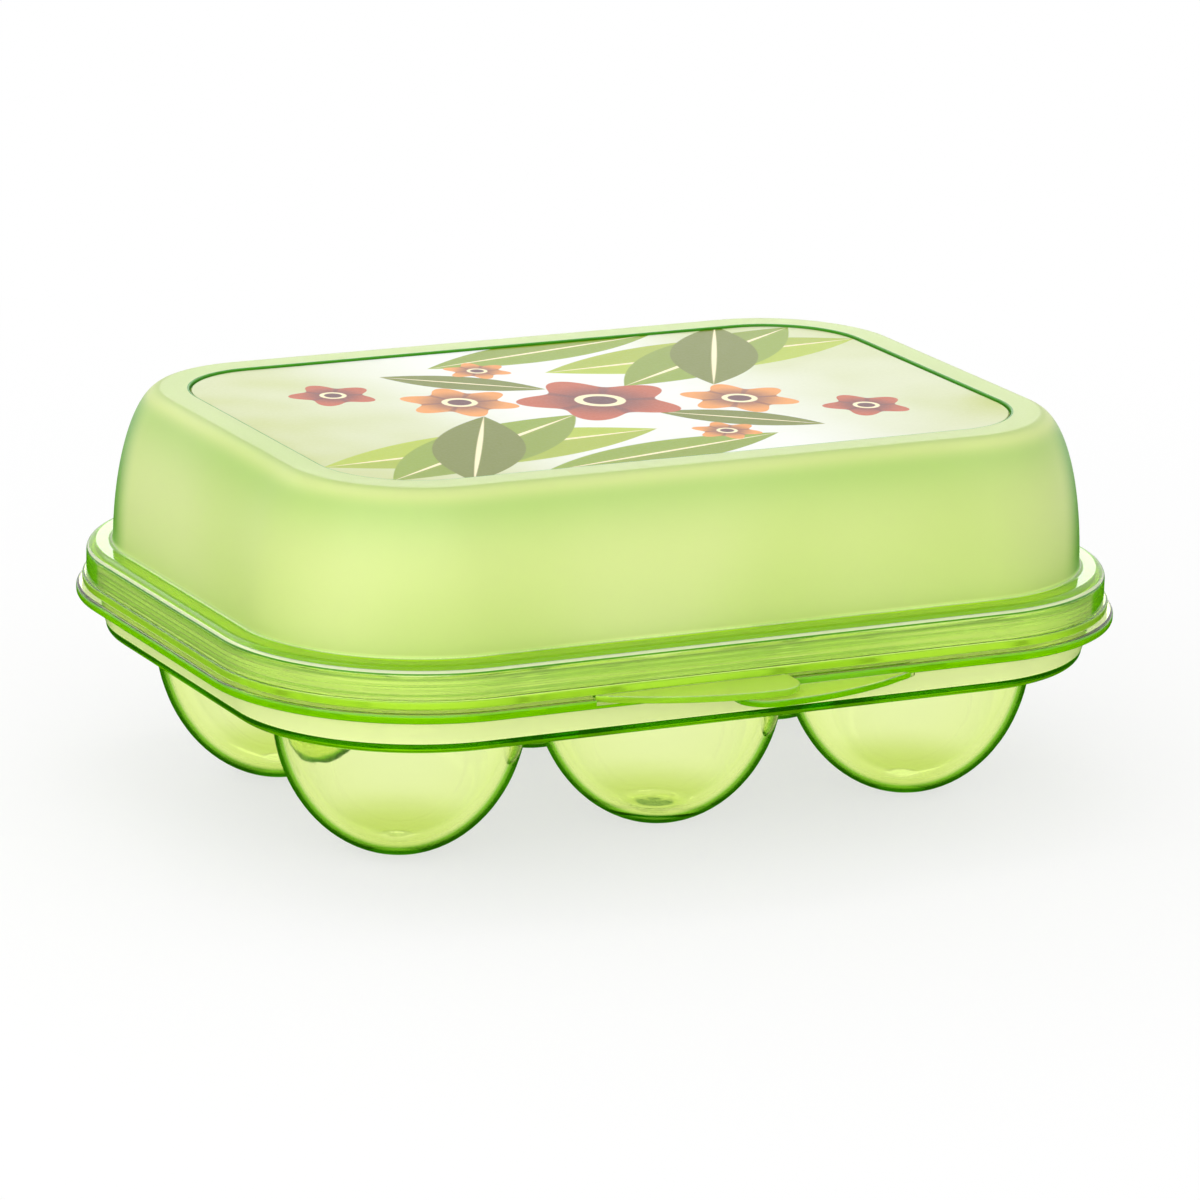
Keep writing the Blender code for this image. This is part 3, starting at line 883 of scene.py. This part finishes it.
# Shares of a leaf's half width and of its shade, and of a flower's radius and of its shades
RIB_WIDTH = 0.06
BLADE_SHADE = 0.22
FLOWER_TURN = 0.4
PETAL_MIDDLE = 0.83
PETAL_SWING = 0.17
HEART_RADII = (0.25, 0.85)
HEART_SHADE = 0.75
CREASE_WAVE = (-1.0, -0.72)
CREASE_SHADE = 0.5
RING_RADIUS = 0.30
CENTRE_RADIUS = 0.20

# The ground's wash, and the ink's speckle and gloss
WASH_ENDS = (14 * MM, 62 * MM)
WASH_SHARE = 0.9
WASH_SCALE = 22
INK_SCALE = 1500
INK_SPECKLE = 0.03
INK_DEPTH = 0.01 * MM
INK_STRENGTH = 0.3
LABEL_GLOSS = 0.02


class Print(Tree):
    """Flat printed shapes, laid over each other on the label."""

    def __init__(self, name):
        super().__init__(name)
        self.x = self.axis("X")
        self.y = self.math("SUBTRACT", self.axis("Y"), BODY_Y)
        self.colour = PAPER

    def inside(self, value):
        """1 where the value is below zero, with a soft printed edge."""
        return self.fall(value, -PRINT_EDGE, PRINT_EDGE)

    def lay(self, mask, colour):
        self.colour = self.mix(mask, self.colour, colour)

    def turned(self, x, y, angle):
        """Coordinates along and across a direction, from a point, in metres."""
        right = self.math("SUBTRACT", self.x, x)
        back = self.math("SUBTRACT", self.y, y)
        cosine = math.cos(angle)
        sine = math.sin(angle)
        along = self.math("MULTIPLY_ADD", right, cosine, self.math("MULTIPLY", back, sine))
        across = self.math("MULTIPLY_ADD", back, cosine, self.math("MULTIPLY", right, -sine))
        return along, across

    def leaf(self, x, y, angle, length, width, colour):
        """A lens with a lighter midrib and a shaded half."""
        along, across = self.turned(x, y, angle)
        share = self.math("DIVIDE", along, length)
        swell = self.math("MULTIPLY", share, self.math("SUBTRACT", 1.0, share))
        half = self.math("MULTIPLY", swell, 2 * width)
        side = self.math("ABSOLUTE", across)
        blade = self.inside(self.math("SUBTRACT", side, half))
        self.lay(blade, colour)
        self.lay(self.both(blade, self.fall(across, -PRINT_EDGE, PRINT_EDGE, BLADE_SHADE)), OLIVE)
        self.lay(self.inside(self.math("SUBTRACT", side, self.math("MULTIPLY", half, RIB_WIDTH))), CREAM)

    def flower(self, x, y, radius, petals, colour):
        """Rounded petals with a darker heart, a ring of stamens and a plum centre."""
        right, back = self.turned(x, y, FLOWER_TURN)
        away = self.length(right, back)
        angle = self.math("MULTIPLY", self.math("ARCTAN2", back, right), petals)
        wave = self.math("COSINE", angle)
        edge = self.math("MULTIPLY_ADD", wave, PETAL_SWING * radius, PETAL_MIDDLE * radius)
        petal = self.inside(self.math("SUBTRACT", away, edge))
        self.lay(petal, colour)
        near, far = HEART_RADII
        self.lay(self.both(petal, self.fall(away, near * radius, far * radius, HEART_SHADE)), PLUM)
        self.lay(self.both(petal, self.fall(wave, *CREASE_WAVE, CREASE_SHADE)), PLUM)
        self.lay(self.inside(self.math("SUBTRACT", away, RING_RADIUS * radius)), CREAM)
        self.lay(self.inside(self.math("SUBTRACT", away, CENTRE_RADIUS * radius)), PLUM)


def label_print():
    """The panel's print: leaves from two corners and a garland of flowers on a pale ground."""
    tree = Print("label_print")
    ends = tree.rise(tree.math("ABSOLUTE", tree.x), *WASH_ENDS, WASH_SHARE)
    cloud = tree.between(tree.noise(WASH_SCALE, 2), 0.30, 0.70, 0.5, 1.0)
    tree.lay(tree.both(ends, cloud), WASH)
    for x, y, angle, length, width, colour in LEAVES:
        tree.leaf(x * MM, y * MM, math.radians(angle), length * MM, width * MM, colour)
    for x, y, radius, petals, colour in FLOWERS:
        tree.flower(x * MM, y * MM, radius * MM, petals, colour)
    ink = tree.noise(INK_SCALE, 2)
    tree.lay(tree.rise(ink, 0.35, 0.75, INK_SPECKLE), PAPER)
    tree.feed(tree.shader.inputs["Base Color"], tree.colour)
    tree.feed(tree.shader.inputs["Roughness"], tree.between(ink, 0.3, 0.7, 0.18, 0.26))
    tree.shader.inputs["Specular IOR Level"].default_value = LABEL_GLOSS
    tree.bump(ink, INK_DEPTH, INK_STRENGTH)
    return tree.material


# Set and camera
FLOOR_HALF = 3.0
FLOOR_GREY = (0.93, 0.93, 0.93, 1)
FLOOR_ROUGHNESS = 0.9
WORLD_LEVEL = 0.75

# The floor seen by the camera: the share of plain white over its lit surface, less round the box,
# so that the box's shadow shows there
SHADOW_WHITE = 0.68
SHADOW_RADII = (0.10, 0.45)

# The floor seen in a gloss: a painted green shadow near the box, standing in for light through the green
# plastic, so that clear rims keep their colour
MIRROR_PAINTED_SHADOW = (0.03, 0.20, 0.0, 1)
MIRROR_RADII = (0.20, 0.60)

# Lamps as (name, place, target, size, power in watts)
LAMPS = (
    ("overhead", (0.0, 0.30, 1.1), (0, 0, 0.04), (1.2, 0.25), 1.2),
    ("front", (-0.85, -1.1, 0.7), (0, 0, 0.04), (2.4, 1.8), 16),
    ("rim", (-0.5, 1.2, 0.9), (0, 0, 0.05), (1.6, 0.4), 2),
    ("behind", (0.58, 1.12, 0.35), (0, 0, 0.05), (0.5, 0.2), 0.7),
)

CAMERA_AZIMUTH = math.radians(-27.359)
CAMERA_ELEVATION = math.radians(15.200)
CAMERA_ROLL = math.radians(1.644)
CAMERA_DISTANCE = 1384.92 * MM
CAMERA_RIGHT = 2.138 * MM
CAMERA_UP = 35.875 * MM
CAMERA_LENS = 206.93
CAMERA_SENSOR = 36


def make_floor():
    """A floor that takes the box's shadow and looks white to the camera and through the plastic, with a
    painted green shadow near the box that only reflections show.
    """
    model = bmesh.new()
    corners = [(-FLOOR_HALF, -FLOOR_HALF), (FLOOR_HALF, -FLOOR_HALF),
               (FLOOR_HALF, FLOOR_HALF), (-FLOOR_HALF, FLOOR_HALF)]
    model.faces.new([model.verts.new((x, y, 0)) for x, y in corners])
    floor = to_object("floor", model)
    tree = Tree("floor_white")
    tree.shader.inputs["Base Color"].default_value = FLOOR_GREY
    tree.shader.inputs["Roughness"].default_value = FLOOR_ROUGHNESS
    away = tree.add("ShaderNodeVectorMath", operation="LENGTH")
    tree.feed(away.inputs[0], tree.place)
    distance = away.outputs["Value"]
    rays = tree.add("ShaderNodeLightPath").outputs
    straight = tree.both(tree.between(distance, *SHADOW_RADII, SHADOW_WHITE, 1.0), rays["Is Camera Ray"])
    through = tree.either(rays["Is Glossy Ray"], rays["Is Transmission Ray"])
    seen = tree.either(straight, through)
    # Painted green shadow near the box, seen only in reflections
    mirrored = tree.math("SUBTRACT", rays["Is Glossy Ray"], rays["Is Transmission Ray"])
    near = tree.both(tree.fall(distance, *MIRROR_RADII), mirrored)
    white = tree.add("ShaderNodeEmission")
    tree.feed(white.inputs["Color"], tree.mix(near, WHITE, MIRROR_PAINTED_SHADOW))
    blend = tree.add("ShaderNodeMixShader")
    tree.feed(blend.inputs[0], seen)
    tree.links.new(tree.shader.outputs[0], blend.inputs[1])
    tree.links.new(white.outputs[0], blend.inputs[2])
    tree.links.new(blend.outputs[0], tree.output.inputs["Surface"])
    floor.data.materials.append(tree.material)


def make_world():
    """A white world, less strong for the light that falls on surfaces than for what is seen."""
    world = bpy.data.worlds.new("studio")
    bpy.context.scene.world = world
    world.use_nodes = True
    nodes = world.node_tree.nodes
    links = world.node_tree.links
    rays = nodes.new("ShaderNodeLightPath").outputs
    seen = rays["Is Camera Ray"]
    for kind in ("Is Glossy Ray", "Is Transmission Ray"):
        larger = nodes.new("ShaderNodeMath")
        larger.operation = "MAXIMUM"
        links.new(seen, larger.inputs[0])
        links.new(rays[kind], larger.inputs[1])
        seen = larger.outputs[0]
    level = nodes.new("ShaderNodeMapRange")
    level.inputs["To Min"].default_value = WORLD_LEVEL
    level.inputs["To Max"].default_value = 1.0
    links.new(seen, level.inputs["Value"])
    background = nodes["Background"]
    background.inputs["Color"].default_value = WHITE
    links.new(level.outputs[0], background.inputs["Strength"])


def add_lamp(name, place, target, size, power):
    """A rectangular lamp that looks at its target."""
    light = bpy.data.lights.new(name, "AREA")
    light.shape = "RECTANGLE"
    light.size = size[0]
    light.size_y = size[1]
    light.energy = power
    lamp = bpy.data.objects.new(name, light)
    lamp.location = place
    lamp.rotation_mode = "QUATERNION"
    lamp.rotation_quaternion = (Vector(target) - Vector(place)).to_track_quat("-Z", "Y")
    bpy.context.collection.objects.link(lamp)


def make_camera():
    """The photograph's camera: front left, a little above, far off with a long lens."""
    back = Vector((math.sin(CAMERA_AZIMUTH) * math.cos(CAMERA_ELEVATION),
                   -math.cos(CAMERA_AZIMUTH) * math.cos(CAMERA_ELEVATION),
                   math.sin(CAMERA_ELEVATION)))
    level = Vector((math.cos(CAMERA_AZIMUTH), math.sin(CAMERA_AZIMUTH), 0))
    upright = back.cross(level)
    right = math.cos(CAMERA_ROLL) * level + math.sin(CAMERA_ROLL) * upright
    up = math.cos(CAMERA_ROLL) * upright - math.sin(CAMERA_ROLL) * level
    data = bpy.data.cameras.new("camera")
    data.sensor_width = CAMERA_SENSOR
    data.lens = CAMERA_LENS
    camera = bpy.data.objects.new("camera", data)
    bpy.context.collection.objects.link(camera)
    place = Vector((0, BODY_Y, 0)) + right * CAMERA_RIGHT + up * CAMERA_UP + back * CAMERA_DISTANCE
    rotation = Matrix((right, up, back)).transposed()
    camera.matrix_world = Matrix.Translation(place) @ rotation.to_4x4()
    bpy.context.scene.camera = camera


def main():
    tray = make_tray()
    shade(tray)
    tray.data.materials.append(clear_plastic())
    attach(tray, "tray")
    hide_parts("tray_frame", *CUP_NAMES)

    lid = make_lid()
    shade(lid)
    lid.data.materials.append(frosted_plastic())
    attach(lid, "lid")
    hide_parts("lid_shell")

    label = make_label()
    shade(label)
    label.data.materials.append(label_print())
    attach(label, "lid")
    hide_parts("lid_label")

    make_floor()
    make_world()
    for lamp in LAMPS:
        add_lamp(*lamp)
    make_camera()
    bpy.context.scene.view_settings.view_transform = "Standard"


main()
